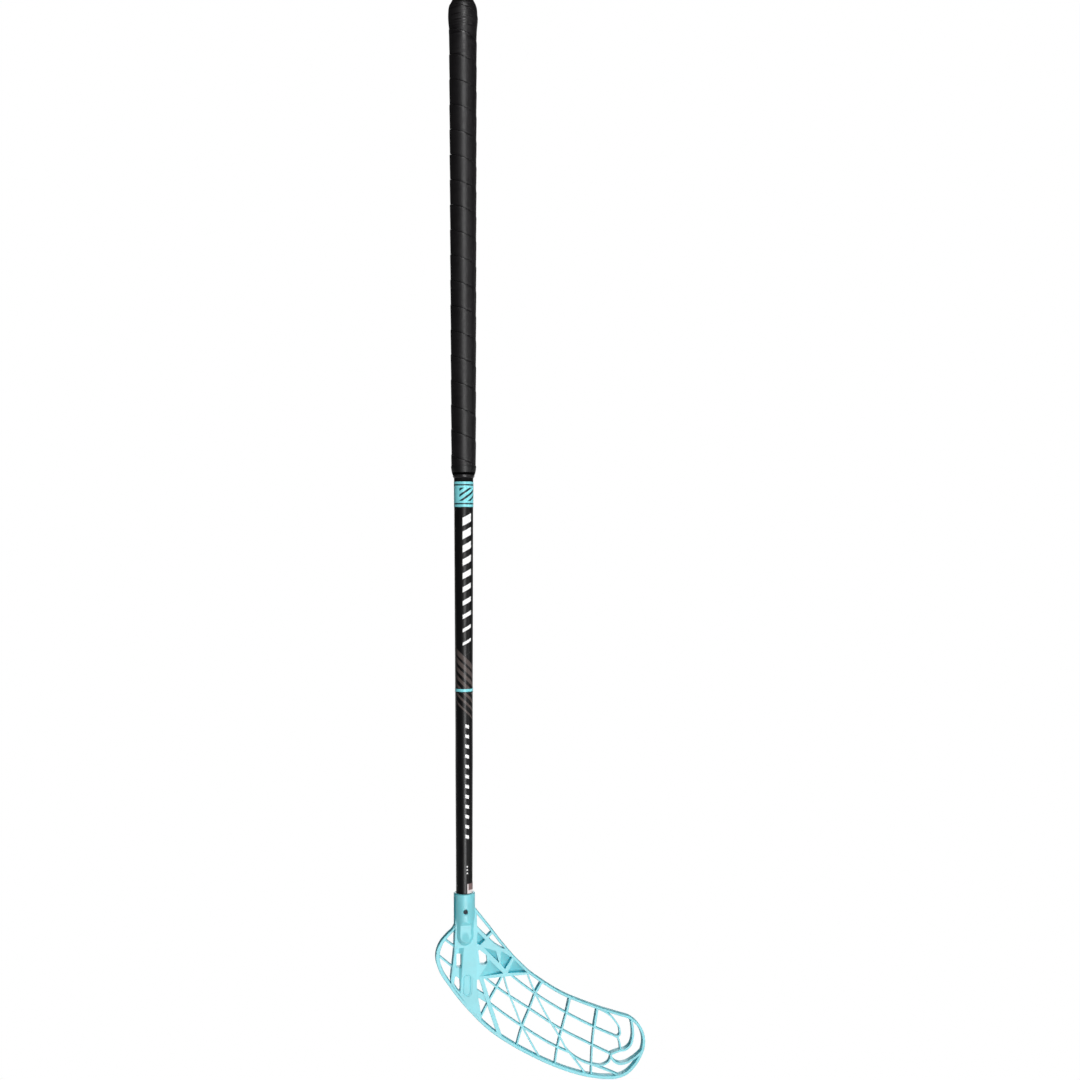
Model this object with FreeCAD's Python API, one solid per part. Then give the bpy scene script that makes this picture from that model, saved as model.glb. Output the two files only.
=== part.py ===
"""Floorball stick: a tapered tube with a wound grip, a butt cap and a moulded blade.

Lengths are in millimetres. The shaft runs along Z with the butt up, and the blade lies in the XZ plane
with its toe towards +X. The origin is on the shaft's axis, at the middle of the grip. A distance is
measured from the butt down the stick.
"""
import FreeCAD, Part
import math
import os

V = FreeCAD.Vector

# Shaft
SHAFT_END = 1000.0
BUTT_OD = 24.5
TIP_OD = 17.3
TUBE_WALL = 1.6
CLIP_DISTANCE = 800.0
CLIP_LENGTH = 40.0

# Clearance between pieces that are pushed or laid over one another, and the overrun of cutters
FIT = 0.15
OVERRUN = 5.0

# End cap
CAP_TOP = 3.0
CAP_HEAD = 26.0
CAP_OD = 32.2
CAP_LIP_OD = 29.6
CAP_EDGE = 3.6
CAP_PLUG = 22.0
CAP_PLUG_WALL = 2.4
CAP_SWELL_SHARE = 0.62

# Grip strip: heights are measured out from the shaft
GRIP_END = 500.0
STRIP_WIDTH = 29.0
STRIP_PITCH = 26.8
STRIP_UNDERSIDE = 0.2
STRIP_TUCK = 0.7
STRIP_LAP_GAP = 0.6
STRIP_TOP_EDGE = 2.5
STRIP_CROWN = 2.9
STRIP_SHOULDER = 2.45
STRIP_ROUND = 1.4
STRIP_STEP = 0.5
STEPS_PER_TURN = 4
GAP_SAMPLE = 0.2

# Band that closes the lower end of the grip
END_BAND = 13.0
END_BAND_OD = 27.2
END_BAND_TIP = 0.5
END_BAND_SHARE = 0.12

# Colour bands and sticker: thin films laid on the shaft
FILM = 0.15
FILM_LIFT = 0.05
BAND_GAP = 4.0
BAND_LENGTH = 27.0
RING_DISTANCE = 738.0
RING_LENGTH = 4.2
STICKER_LENGTH = 10.4
STICKER_WIDTH = 20.0
STICKER_OVER_NECK = 0.5
STICKER_START_ANGLE = 14.0

# Neck and socket of the blade
SOCKET_DEPTH = 43.0
NECK_OD = 22.8
NECK_LENGTH = 44.0
NECK_EDGE = 0.7
NOSE_LENGTH = 14.0
FLAT_DROP = 29.0
FLAT_RAMP = 4.0
FLAT_WALL_SHARE = 0.54

# Blade: reach is from the shaft's axis to the toe, drop from the neck's top to the lowest point
BLADE_REACH = 200.0
HEEL_REACH = 29.2
BLADE_DROP = 213.0
RIM_DEPTH = 7.6
RIM_WIDTH = 3.6
RIM_ROUND = 0.8
RIB_DEPTH = 5.4
RIB_WIDTH = 1.8
STRUT_DEPTH = 7.4
STRUT_WIDTH = 2.3
BRACE_WIDTH = 4.4
BRIDGE_WIDTH = 6.4
HUB_TOP_DROP = 14.0
HUB_SHOULDER_DROP = 42.0
HUB_FOOT_DROP = 115.0
HUB_SHOULDER_DEPTH = 14.4
HUB_FOOT_DEPTH = 8.6
FLANGE_DEPTH = 7.6
POCKET_SINK = 6.2
WINDOW_ROUND = 1.1
CAPSULE_WIDTH = 11.0
CAPSULE_SINK = 0.6

# Blade screws
SCREW_DROP = 18.5
SCREW_HEAD_OD = 4.4
SCREW_HEAD_HEIGHT = 1.5
SCREW_SHANK_OD = 2.6
SCREW_LENGTH = 7.0
SCREW_SINK = 0.5
SCREW_FLARE = 1.0
CROSS_WIDTH = 0.6
CROSS_DEPTH = 0.7
CROSS_SPAN_SHARE = 0.62

# A chord that strays less than this share of its length from its tangent counts as straight
STRAIGHT_SHARE = 1e-6

# Blade outline, clockwise from inside the neck: across, down and the rim's width. Across is a share of
# the blade's reach, or of the heel's where negative, and down is a share of the drop.
OUTLINE_SHARES = [
    (0.020, 0.036, 0.75), (0.056, 0.079, 0.75), (0.121, 0.157, 0.75), (0.219, 0.279, 0.75),
    (0.328, 0.396, 0.75), (0.438, 0.478, 0.75), (0.549, 0.545, 0.75), (0.633, 0.583, 0.75),
    (0.745, 0.628, 0.75), (0.858, 0.667, 0.75), (0.910, 0.685, 0.80), (0.955, 0.718, 0.85),
    (0.984, 0.758, 0.85), (0.998, 0.803, 0.85), (0.997, 0.848, 0.90), (0.977, 0.899, 0.90),
    (0.941, 0.949, 0.95), (0.895, 0.985, 1.00), (0.840, 1.000, 1.00), (0.775, 0.998, 1.00),
    (0.689, 0.983, 1.00), (0.577, 0.949, 1.00), (0.466, 0.903, 1.00), (0.356, 0.847, 1.00),
    (0.246, 0.783, 1.00), (0.137, 0.707, 1.00), (0.029, 0.604, 1.00), (-0.190, 0.540, 0.95),
    (-0.575, 0.467, 1.05), (-0.950, 0.383, 1.15), (-1.070, 0.322, 1.20), (-1.036, 0.280, 1.15),
    (-0.890, 0.238, 1.00), (-0.657, 0.203, 0.85), (-0.432, 0.173, 0.75), (-0.330, 0.120, 0.75),
    (-0.150, 0.050, 0.75),
]

# Ribs of the blade, each along a line of across and down shares
RIB_SHARES = {
    "heel_upper": [(-0.78, 0.225), (-0.38, 0.268)],
    "heel_lower": [(-1.00, 0.304), (-0.43, 0.373)],
    "cross_1": [(0.206, 0.430), (0.173, 0.487), (0.129, 0.558), (0.080, 0.645)],
    "cross_2": [(0.384, 0.531), (0.351, 0.611), (0.312, 0.696), (0.281, 0.795)],
    "cross_3": [(0.557, 0.645), (0.531, 0.728), (0.507, 0.815), (0.492, 0.908)],
    "cross_4": [(0.712, 0.728), (0.701, 0.820), (0.696, 0.915), (0.695, 0.976)],
    "long_1": [(0.246, 0.428), (0.381, 0.533), (0.558, 0.646), (0.711, 0.728), (0.836, 0.786)],
    "long_2": [(0.100, 0.428), (0.173, 0.488), (0.350, 0.609), (0.531, 0.729), (0.700, 0.820),
               (0.803, 0.873)],
    "long_3": [(0.124, 0.558), (0.312, 0.697), (0.505, 0.816), (0.568, 0.846)],
    "slant_2": [(0.212, 0.428), (0.235, 0.510), (0.282, 0.625), (0.310, 0.694)],
    "slant_3": [(0.342, 0.430), (0.382, 0.527), (0.442, 0.641), (0.522, 0.769), (0.570, 0.845),
                (0.623, 0.886), (0.697, 0.918), (0.765, 0.926), (0.796, 0.908), (0.803, 0.873)],
    "slant_4": [(0.312, 0.696), (0.348, 0.761), (0.411, 0.866)],
    "slant_5": [(0.570, 0.845), (0.628, 0.919), (0.662, 0.964)],
    "slant_6": [(0.697, 0.920), (0.752, 0.942), (0.852, 0.988)],
    "toe_inner": [(0.745, 0.640), (0.792, 0.667), (0.832, 0.708), (0.856, 0.752), (0.853, 0.781),
                  (0.830, 0.786)],
    "toe_link": [(0.842, 0.786), (0.856, 0.822), (0.859, 0.857)],
}

# Deeper struts: the upper ends of the cross ribs, the outer toe loops and two edges of the web
STRUT_SHARES = {
    "cross_2_root": [(0.420, 0.476), (0.384, 0.531)],
    "cross_3_root": [(0.576, 0.567), (0.557, 0.645)],
    "cross_4_root": [(0.730, 0.631), (0.712, 0.728)],
    "toe_outer": [(0.920, 0.706), (0.929, 0.752), (0.928, 0.800), (0.914, 0.836), (0.888, 0.855),
                  (0.855, 0.859), (0.803, 0.874)],
    "toe_lower": [(0.803, 0.874), (0.821, 0.909), (0.853, 0.926), (0.890, 0.924), (0.932, 0.906),
                  (0.979, 0.872)],
    "web_edge": [(0.042, 0.157), (0.118, 0.232), (0.178, 0.283), (0.236, 0.308)],
    "web_tie": [(0.152, 0.205), (0.118, 0.234)],
}
BRACE_SHARES = [(0.088, 0.432), (0.124, 0.545), (0.188, 0.730)]
BRIDGE_SHARES = [(0.042, 0.495), (0.124, 0.548)]

# Web beside the hub and the pane through it, each a closed line of across and down shares
WEB_SHARES = [
    (0.045, 0.165), (0.118, 0.232), (0.178, 0.283), (0.236, 0.306), (0.366, 0.431), (0.337, 0.432),
    (0.250, 0.433), (0.107, 0.438), (0.045, 0.442),
]
PANE_SHARES = [(0.071, 0.284), (0.117, 0.320), (0.122, 0.358), (0.110, 0.367), (0.082, 0.367)]

# Hub, its thin flange, the ramp from it and the windows: across is a share of the neck's radius, and down
# a share of the drop, or of the socket's depth at the hub's top
HUB_TOP_SHARES = [(1.123, 0.470), (-0.876, 0.545), (-0.966, 1.035)]
HUB_SHARES = [
    (-1.035, 0.289), (-1.194, 0.364), (-1.350, 0.429), (-1.281, 0.452), (0.544, 0.590), (1.596, 0.650),
    (1.509, 0.611), (1.263, 0.534), (1.123, 0.473),
]
HUB_FLANGE_SHARES = [
    (-0.825, 0.272), (-0.980, 0.364), (-1.140, 0.429), (-0.800, 0.470), (-0.307, 0.516), (0.350, 0.516),
    (0.350, 0.272),
]
HUB_RAMP_SHARES = (-0.550, 0.610)
HUB_SLOT_SHARES = [(-0.794, 0.302), (-0.333, 0.302), (-0.333, 0.376), (-0.794, 0.371)]
HUB_HEEL_SHARES = [(-0.896, 0.411), (-0.461, 0.432), (-0.410, 0.499), (-0.640, 0.488), (-1.050, 0.454)]

# Capsule on the hub: across is a share of the neck's radius, and down a share of the drop to the hub's foot
CAPSULE_SHARES = [(0.180, 0.793), (0.180, 0.919)]

# Pockets in the web's front, each with a slanting floor: across, down and the floor's depth, where a
# negative depth starts the slope in front of the web. The first three corners set the slope.
POCKET_SHARES = {
    "top": [(0.063, 0.193, -0.10), (0.111, 0.242, 1.00), (0.082, 0.267, 1.00), (0.061, 0.256)],
    "middle": [(0.094, 0.272, -0.10), (0.167, 0.295, -0.10), (0.186, 0.363, 1.00)],
    "rim": [(0.193, 0.302, -0.10), (0.258, 0.341, 1.00), (0.217, 0.397, 0.80), (0.193, 0.365)],
    "right": [(0.266, 0.349, -0.10), (0.345, 0.421, 1.00), (0.232, 0.417, 0.75)],
    "left": [(0.126, 0.337, -0.10), (0.208, 0.418, 1.00), (0.072, 0.426, -0.05)],
}

NECK_TOP = SHAFT_END - SOCKET_DEPTH
BUTT_Z = GRIP_END / 2


def level(distance):
    """Height of a place that lies at this distance from the butt."""
    return BUTT_Z - distance


def shaft_radius(distance):
    """Outer radius of the shaft, whose clip land is a true cylinder between two cones."""
    land_top = CLIP_DISTANCE - CLIP_LENGTH / 2
    land_end = CLIP_DISTANCE + CLIP_LENGTH / 2
    taper = (BUTT_OD - TIP_OD) / 2 / SHAFT_END
    land_radius = BUTT_OD / 2 - taper * CLIP_DISTANCE
    if distance <= land_top:
        return BUTT_OD / 2 + (land_radius - BUTT_OD / 2) * distance / land_top
    if distance <= land_end:
        return land_radius
    return land_radius + (TIP_OD / 2 - land_radius) * (distance - land_end) / (SHAFT_END - land_end)


def spot(radius, distance):
    """Point of a turned profile, in the XZ plane."""
    return V(radius, 0, level(distance))


def polyline(points):
    """Closed wire through the points."""
    return Part.makePolygon(points + points[:1])


def turned(edges, angle=360.0):
    """Solid made by turning a closed profile of edges about the shaft's axis."""
    face = Part.Face(Part.Wire(Part.__sortEdges__(edges)))
    return face.revolve(V(0, 0, 0), V(0, 0, 1), angle)


def sleeve(start, end, inner_gap, thickness, angle=360.0):
    """Sleeve of even thickness that follows the shaft's taper between two distances."""
    corners = [
        spot(shaft_radius(start) + inner_gap, start),
        spot(shaft_radius(start) + inner_gap + thickness, start),
        spot(shaft_radius(end) + inner_gap + thickness, end),
        spot(shaft_radius(end) + inner_gap, end),
    ]
    return turned(polyline(corners).Edges, angle)


def arc_edge(start, tangent, end):
    """Arc from start, leaving along tangent, to end, or a line where they lie in line."""
    chord = end - start
    side = chord - tangent * chord.dot(tangent)
    if side.Length < STRAIGHT_SHARE * chord.Length:
        return Part.LineSegment(start, end).toShape()
    normal = V(side).normalize()
    radius = chord.dot(chord) / (2 * chord.dot(normal))
    centre = start + normal * radius
    middle = centre + ((start + end) * 0.5 - centre).normalize() * radius
    return Part.Arc(start, middle, end).toShape()


def end_tangent(start, tangent, end):
    """Direction in which an arc from start, leaving along tangent, arrives at end."""
    along = (end - start).normalize()
    return along * (2 * along.dot(tangent)) - tangent


def biarc(start, leaving, end, arriving):
    """Two tangent arcs between two points with given directions, each as start, tangent and end."""
    chord = end - start
    both = leaving + arriving
    turn = 2 * (1 - leaving.dot(arriving))
    reach = chord.dot(both)
    if turn < STRAIGHT_SHARE:
        handle = chord.dot(chord) / (2 * reach)
    else:
        handle = (-reach + math.sqrt(reach * reach + turn * chord.dot(chord))) / turn
    joint = (start + end + (leaving - arriving) * handle) * 0.5
    return [(start, leaving, joint), (joint, end_tangent(start, leaving, joint), end)]


def middle_direction(before, point, after):
    """Direction at a point of the circle through it and its two neighbours."""
    first = point - before
    second = after - point
    mixed = V(first).normalize() * second.Length + V(second).normalize() * first.Length
    return mixed.normalize()


def directions(points, closed):
    """Direction of a smooth line at each of its points."""
    count = len(points)
    if count == 2:
        return [(points[1] - points[0]).normalize()] * count
    if closed:
        return [middle_direction(points[i - 1], points[i], points[(i + 1) % count]) for i in range(count)]
    inner = [middle_direction(*points[i:i + 3]) for i in range(count - 2)]
    first = end_tangent(points[1], inner[0] * -1, points[0]) * -1
    last = end_tangent(points[-2], inner[-1], points[-1])
    return [first] + inner + [last]


def smooth_arcs(points, closed=False):
    """Tangent arcs through the points, each as start, tangent and end."""
    ways = directions(points, closed)
    count = len(points)
    arcs = []
    for i in range(count if closed else count - 1):
        j = (i + 1) % count
        arcs += biarc(points[i], ways[i], points[j], ways[j])
    return arcs


def shaft_tube():
    """Hollow tapered tube from under the cap's plate to the floor of the blade's socket."""
    land = [CLIP_DISTANCE - CLIP_LENGTH / 2, CLIP_DISTANCE + CLIP_LENGTH / 2]
    stops = [CAP_TOP] + land + [SHAFT_END]
    outside = [spot(shaft_radius(stop), stop) for stop in stops]
    inside = [spot(shaft_radius(stop) - TUBE_WALL, stop) for stop in reversed(stops)]
    tube = turned(polyline(outside + inside).Edges)
    hole_start = V(0, -NECK_OD / 2, level(NECK_TOP + SCREW_DROP))
    return tube.cut(Part.makeCylinder(SCREW_SHANK_OD / 2 + FIT, NECK_OD, hole_start, V(0, 1, 0)))


def end_cap():
    """Rubber cap: a swollen head over the tube's end, and a hollow plug inside it."""
    top_edge = CAP_LIP_OD / 2
    swell = CAP_EDGE + (CAP_HEAD - CAP_EDGE) * CAP_SWELL_SHARE
    corner = CAP_EDGE * math.sin(math.radians(45))
    plug_end = CAP_TOP + CAP_PLUG
    plug_radius = shaft_radius(plug_end) - TUBE_WALL - FIT
    round_edge = Part.Arc(
        spot(top_edge - CAP_EDGE, 0),
        spot(top_edge - CAP_EDGE + corner, CAP_EDGE - corner),
        spot(top_edge, CAP_EDGE),
    )
    head_side = Part.Arc(spot(top_edge, CAP_EDGE), spot(CAP_OD / 2, swell), spot(CAP_LIP_OD / 2, CAP_HEAD))
    below = [
        spot(CAP_LIP_OD / 2, CAP_HEAD),
        spot(shaft_radius(CAP_HEAD) + FIT, CAP_HEAD),
        spot(shaft_radius(CAP_TOP) + FIT, CAP_TOP),
        spot(plug_radius, CAP_TOP),
        spot(plug_radius, plug_end),
        spot(plug_radius - CAP_PLUG_WALL, plug_end),
        spot(plug_radius - CAP_PLUG_WALL, CAP_TOP),
        spot(0, CAP_TOP),
        spot(0, 0),
        spot(top_edge - CAP_EDGE, 0),
    ]
    return turned([round_edge.toShape(), head_side.toShape()] + Part.makePolygon(below).Edges)


def strip_section():
    """Corners of the grip strip's section, as height out from the shaft and drop from its middle."""
    half = STRIP_WIDTH / 2
    lap = STRIP_WIDTH - STRIP_PITCH
    tucked = STRIP_UNDERSIDE + STRIP_TUCK
    lifted = tucked + STRIP_LAP_GAP
    return [
        (lifted, -half),
        (STRIP_TOP_EDGE, -half),
        (STRIP_CROWN, STRIP_ROUND - half),
        (STRIP_SHOULDER, half - lap - STRIP_STEP - STRIP_LAP_GAP),
        (tucked, half - lap - STRIP_LAP_GAP),
        (tucked, half),
        (STRIP_UNDERSIDE, half),
        (STRIP_UNDERSIDE, lap + STRIP_LAP_GAP - half),
        (lifted, lap + STRIP_LAP_GAP - half),
    ]


def strip_place(angle, height, drop):
    """Point of the wound strip: angle is how far it has been wound, in turns."""
    distance = CAP_HEAD - STRIP_WIDTH / 2 + STRIP_PITCH * angle
    radius = shaft_radius(max(distance, 0)) + height
    around = 2 * math.pi * angle
    return V(radius * math.sin(around), -radius * math.cos(around), level(distance + drop))


def strip_turns():
    """Number of turns from the first wedge under the cap to the last one at the end band."""
    return (GRIP_END - CAP_HEAD + STRIP_WIDTH) / STRIP_PITCH


def strip_way(angle):
    """Direction of the wound strip, from two close places on either side."""
    nudge = 1.0 / STEPS_PER_TURN / STEPS_PER_TURN / STEPS_PER_TURN
    return (strip_place(angle + nudge, 0, 0) - strip_place(angle - nudge, 0, 0)).normalize()


def strip_gap():
    """Least distance between one turn of the strip and the next, measured on points of their sections."""
    corners = strip_section()
    outline = []
    for i in range(len(corners)):
        start = corners[i - 1]
        end = corners[i]
        steps = max(1, round(math.dist(start, end) / GAP_SAMPLE))
        for step in range(steps):
            share = step / steps
            outline.append([a + (b - a) * share for a, b in zip(start, end)])
    least = STRIP_WIDTH
    for turn in range(1, int(strip_turns()) - 1):
        upper = [strip_place(turn, *pair) for pair in outline]
        lower = [strip_place(turn + 1, *pair) for pair in outline]
        least = min([least] + [a.distanceToPoint(b) for a in upper for b in lower])
    return least


def grip_tape():
    """Padded strip wound down the shaft, each lower turn lapping the one above it."""
    steps = math.ceil(strip_turns() * STEPS_PER_TURN)
    edges = []
    for step in range(steps):
        start = step / STEPS_PER_TURN
        end = (step + 1) / STEPS_PER_TURN
        arcs = biarc(strip_place(start, 0, 0), strip_way(start), strip_place(end, 0, 0), strip_way(end))
        edges += [arc_edge(*arc) for arc in arcs]
    winding = Part.BRepOffsetAPI.MakePipeShell(Part.Wire(edges))
    winding.setBiNormalMode(V(0, 0, 1))
    winding.add(polyline([strip_place(0, *pair) for pair in strip_section()]))
    winding.build()
    winding.makeSolid()
    trim = Part.makeCylinder(BUTT_OD, GRIP_END - CAP_HEAD - FIT, V(0, 0, level(GRIP_END)))
    return winding.shape().common(trim)


def grip_end_band():
    """Tapered band that closes the lower end of the winding."""
    end = GRIP_END + END_BAND
    turn = GRIP_END + END_BAND * END_BAND_SHARE
    tip = shaft_radius(end) + END_BAND_TIP
    shoulder = spot(END_BAND_OD / 2, turn)
    edges = Part.makePolygon([
        spot(tip, end),
        spot(shaft_radius(end) + FIT, end),
        spot(shaft_radius(GRIP_END) + FIT, GRIP_END),
        spot(END_BAND_OD / 2, GRIP_END),
        shoulder,
    ]).Edges
    edges.append(arc_edge(shoulder, V(0, 0, -1), spot(tip, end)))
    return turned(edges)


def sticker():
    """Small foil label wrapped part of the way round the shaft, just over the neck."""
    end = NECK_TOP - STICKER_OVER_NECK
    start = end - STICKER_LENGTH
    angle = math.degrees(STICKER_WIDTH / shaft_radius(start))
    label = sleeve(start, end, FILM_LIFT, FILM, angle)
    label.rotate(V(0, 0, 0), V(0, 0, 1), STICKER_START_ANGLE - 90.0)
    return label


def blade_place(across, down):
    """Point of the blade's middle plane from its shares."""
    reach = BLADE_REACH if across > 0 else HEEL_REACH
    return V(across * reach, 0, level(NECK_TOP + down * BLADE_DROP))


def hub_place(across, down, span):
    """Point of the blade's middle plane near the hub: down is a share of the span."""
    return V(across * NECK_OD / 2, 0, level(NECK_TOP + down * span))


def blade_side(direction):
    """Direction square to a line in the blade's middle plane, to the inner side of the outline."""
    return V(direction.z, 0, -direction.x)


def plate(face, depth):
    """Plate of a given depth, centred on the blade's middle plane."""
    solid = face.extrude(V(0, depth, 0))
    solid.translate(V(0, -depth / 2, 0))
    return solid


def is_level(edge):
    """Whether an edge lies along one of a plate's two faces."""
    return abs(edge.Vertexes[0].Y - edge.Vertexes[-1].Y) < FIT


def stroke(shares, width):
    """Flat strip of even width along a smooth line in the blade's middle plane."""
    points = [blade_place(*pair) for pair in shares]
    left = []
    right = []
    for start, tangent, end in smooth_arcs(points):
        arriving = end_tangent(start, tangent, end)
        offset_start = blade_side(tangent) * (width / 2)
        offset_end = blade_side(arriving) * (width / 2)
        left.append(arc_edge(start + offset_start, tangent, end + offset_end))
        right.append(arc_edge(start - offset_start, tangent, end - offset_end))
    caps = [
        Part.makeLine(left[0].Vertexes[0].Point, right[0].Vertexes[0].Point),
        Part.makeLine(left[-1].Vertexes[-1].Point, right[-1].Vertexes[-1].Point),
    ]
    return Part.Face(Part.Wire(Part.__sortEdges__(left + right + caps)))


def network(lines, width, depth):
    """Ribs along many lines, joined into one plate."""
    strips = [stroke(shares, width) for shares in lines]
    flat = strips[0].fuse(strips[1:]).removeSplitter()
    return [plate(face, depth) for face in flat.Faces]


def outline_wire(points):
    """Closed smooth wire through the points."""
    return Part.Wire([arc_edge(*arc) for arc in smooth_arcs(points, closed=True)])


def blade_rim():
    """Rounded rim all the way round the blade."""
    outer = [blade_place(across, down) for across, down, _ in OUTLINE_SHARES]
    ways = directions(outer, closed=True)
    inner = []
    for point, way, row in zip(outer, ways, OUTLINE_SHARES):
        inner.append(point + blade_side(way) * (RIM_WIDTH * row[-1]))
    ring = Part.Face(outline_wire(outer)).cut(Part.Face(outline_wire(inner)))
    rim = plate(ring.Faces[0], RIM_DEPTH)
    return rim.makeFillet(RIM_ROUND, [edge for edge in rim.Edges if is_level(edge)])


def flange_recesses():
    """Cutters that thin the hub's flange on both faces, with a ramp up to the hub."""
    radius = NECK_OD / 2
    top = level(NECK_TOP)
    outline = Part.Face(polyline([hub_place(*pair, BLADE_DROP) for pair in HUB_FLANGE_SHARES]))
    foot, head = [share * radius for share in HUB_RAMP_SHARES]
    cutters = []
    for way in (-1, 1):
        floor = way * FLANGE_DEPTH / 2
        skin = way * radius
        corners = [(-NECK_OD, floor), (foot, floor), (head, skin), (-NECK_OD, skin)]
        ramp = polyline([V(across, deep, top) for across, deep in corners])
        profile = Part.Face(ramp).extrude(V(0, 0, -BLADE_DROP))
        cutters.append(outline.extrude(V(0, skin, 0)).common(profile))
    return cutters


def blade_hub():
    """Hub under the neck, thick at its shoulder and tapering to the lower rim, with a thin flange."""
    outline = [hub_place(*pair, SOCKET_DEPTH) for pair in HUB_TOP_SHARES]
    outline += [hub_place(*pair, BLADE_DROP) for pair in HUB_SHARES]
    block = plate(Part.Face(polyline(outline)), NECK_OD)
    top = V(-BLADE_REACH, 0, level(NECK_TOP + HUB_TOP_DROP))
    edges = []
    lowest = []
    for way in (-1, 1):
        shoulder = V(-BLADE_REACH, way * HUB_SHOULDER_DEPTH / 2, level(NECK_TOP + HUB_SHOULDER_DROP))
        foot = V(-BLADE_REACH, way * HUB_FOOT_DEPTH / 2, level(NECK_TOP + HUB_FOOT_DROP))
        end = V(-BLADE_REACH, way * HUB_FOOT_DEPTH / 2, level(NECK_TOP + BLADE_DROP))
        edges.append(arc_edge(shoulder, (shoulder - foot).normalize(), top))
        edges += Part.makePolygon([shoulder, foot, end]).Edges
        lowest.append(end)
    edges.append(Part.makeLine(*lowest))
    side = Part.Wire(Part.__sortEdges__(edges))
    wedge = Part.Face(side).extrude(V(2 * BLADE_REACH, 0, 0))
    return block.common(wedge).cut(flange_recesses())


def pocket(corners):
    """Cutter for a pocket in the web's front, with a flat floor that slants through its first corners."""
    places = [blade_place(*row[:2]) for row in corners]
    floor = [place + V(0, row[2] * POCKET_SINK, 0) for place, row in zip(places, corners[:3])]
    normal = (floor[1] - floor[0]).cross(floor[2] - floor[0])
    for place in places[3:]:
        floor.append(place + V(0, normal.dot(floor[0] - place) / normal.y, 0))
    cutter = Part.Face(polyline(floor)).extrude(V(0, -NECK_OD, 0))
    cutter.translate(V(0, -STRUT_DEPTH / 2, 0))
    return cutter


def blade_web():
    """Web beside the hub, with slanting pockets in its front."""
    outline = polyline([blade_place(*pair) for pair in WEB_SHARES])
    web = plate(Part.Face(outline), STRUT_DEPTH)
    return web.cut([pocket(corners) for corners in POCKET_SHARES.values()])


def blade_neck():
    """Neck and socket body, closed by a blunt rounded nose under the shaft's end."""
    radius = NECK_OD / 2
    nose_start = NECK_TOP + NECK_LENGTH
    nose_end = nose_start + NOSE_LENGTH
    side = [
        spot(radius, nose_start),
        spot(radius, NECK_TOP + NECK_EDGE),
        spot(radius - NECK_EDGE, NECK_TOP),
        spot(0, NECK_TOP),
        spot(0, nose_end),
    ]
    nose = Part.Ellipse(spot(0, nose_end), spot(radius, nose_start), spot(0, nose_start))
    quarter = Part.ArcOfEllipse(nose, 0, math.pi / 2)
    return turned(Part.makePolygon(side).Edges + [quarter.toShape()]).cut(nose_flats())


def nose_flats():
    """Cutters for the long flat on each face of the neck, over the shaft's end."""
    radius = NECK_OD / 2
    floor = radius - (radius - TIP_OD / 2 - FIT) * FLAT_WALL_SHARE
    start = NECK_TOP + FLAT_DROP
    end = NECK_TOP + NECK_LENGTH + NOSE_LENGTH
    corners = [(radius, start), (floor, start + FLAT_RAMP), (floor, end), (radius, end)]
    cutters = []
    for way in (-1, 1):
        side = polyline([V(-radius, way * deep, level(stop)) for deep, stop in corners])
        cutters.append(Part.Face(side).extrude(V(NECK_OD, 0, 0)))
    return cutters


def socket_bore():
    """Cutter for the blind socket that takes the shaft's lower end."""
    start = NECK_TOP - OVERRUN
    corners = [
        spot(0, start),
        spot(shaft_radius(start) + FIT, start),
        spot(TIP_OD / 2 + FIT, SHAFT_END),
        spot(0, SHAFT_END),
    ]
    return turned(polyline(corners).Edges)


def screw_seat():
    """Depth, from the shaft's axis, at which a screw's head bears on the neck."""
    return NECK_OD / 2 - SCREW_SINK - SCREW_HEAD_HEIGHT


def screw_hole(way):
    """Stepped hole through the neck for one screw: way is -1 at the front and 1 at the back."""
    axis = V(0, way, 0)
    height = level(NECK_TOP + SCREW_DROP)
    head_radius = SCREW_HEAD_OD / 2 + FIT
    surface = NECK_OD / 2
    through = Part.makeCylinder(SCREW_SHANK_OD / 2 + FIT, surface, V(0, 0, height), axis)
    seat = V(0, way * screw_seat(), height)
    pocket = Part.makeCylinder(head_radius, NECK_OD, seat, axis)
    flare_start = V(0, way * (surface - SCREW_FLARE), height)
    flare = Part.makeCone(head_radius, head_radius + 2 * SCREW_FLARE, 2 * SCREW_FLARE, flare_start, axis)
    return through.fuse([pocket, flare])


def blade_screw(way):
    """Small cross-head screw through the neck and the shaft's wall."""
    axis = V(0, way, 0)
    height = level(NECK_TOP + SCREW_DROP)
    seat = screw_seat()
    head = Part.makeCylinder(SCREW_HEAD_OD / 2, SCREW_HEAD_HEIGHT, V(0, way * seat, height), axis)
    tip = V(0, way * (seat - SCREW_LENGTH), height)
    shank = Part.makeCylinder(SCREW_SHANK_OD / 2, SCREW_LENGTH, tip, axis)
    span = SCREW_HEAD_OD * CROSS_SPAN_SHARE
    floor = seat + SCREW_HEAD_HEIGHT - CROSS_DEPTH
    low_y = min(way * floor, way * (floor + OVERRUN))
    slots = []
    for wide, tall in [(span, CROSS_WIDTH), (CROSS_WIDTH, span)]:
        slots.append(Part.makeBox(wide, OVERRUN, tall, V(-wide / 2, low_y, height - tall / 2)))
    return head.fuse(shank).cut(slots[0].fuse(slots[1])).removeSplitter()


def window(points):
    """Cutter for an opening right through the blade, with rounded corners."""
    block = plate(Part.Face(polyline(points)), NECK_OD)
    return block.makeFillet(WINDOW_ROUND, [edge for edge in block.Edges if not is_level(edge)])


def hub_half_depth(place):
    """Half of the hub's depth at a place on its taper."""
    drop = level(NECK_TOP) - place.z
    share = (drop - HUB_SHOULDER_DROP) / (HUB_FOOT_DROP - HUB_SHOULDER_DROP)
    return (HUB_SHOULDER_DEPTH + (HUB_FOOT_DEPTH - HUB_SHOULDER_DEPTH) * share) / 2


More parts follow.
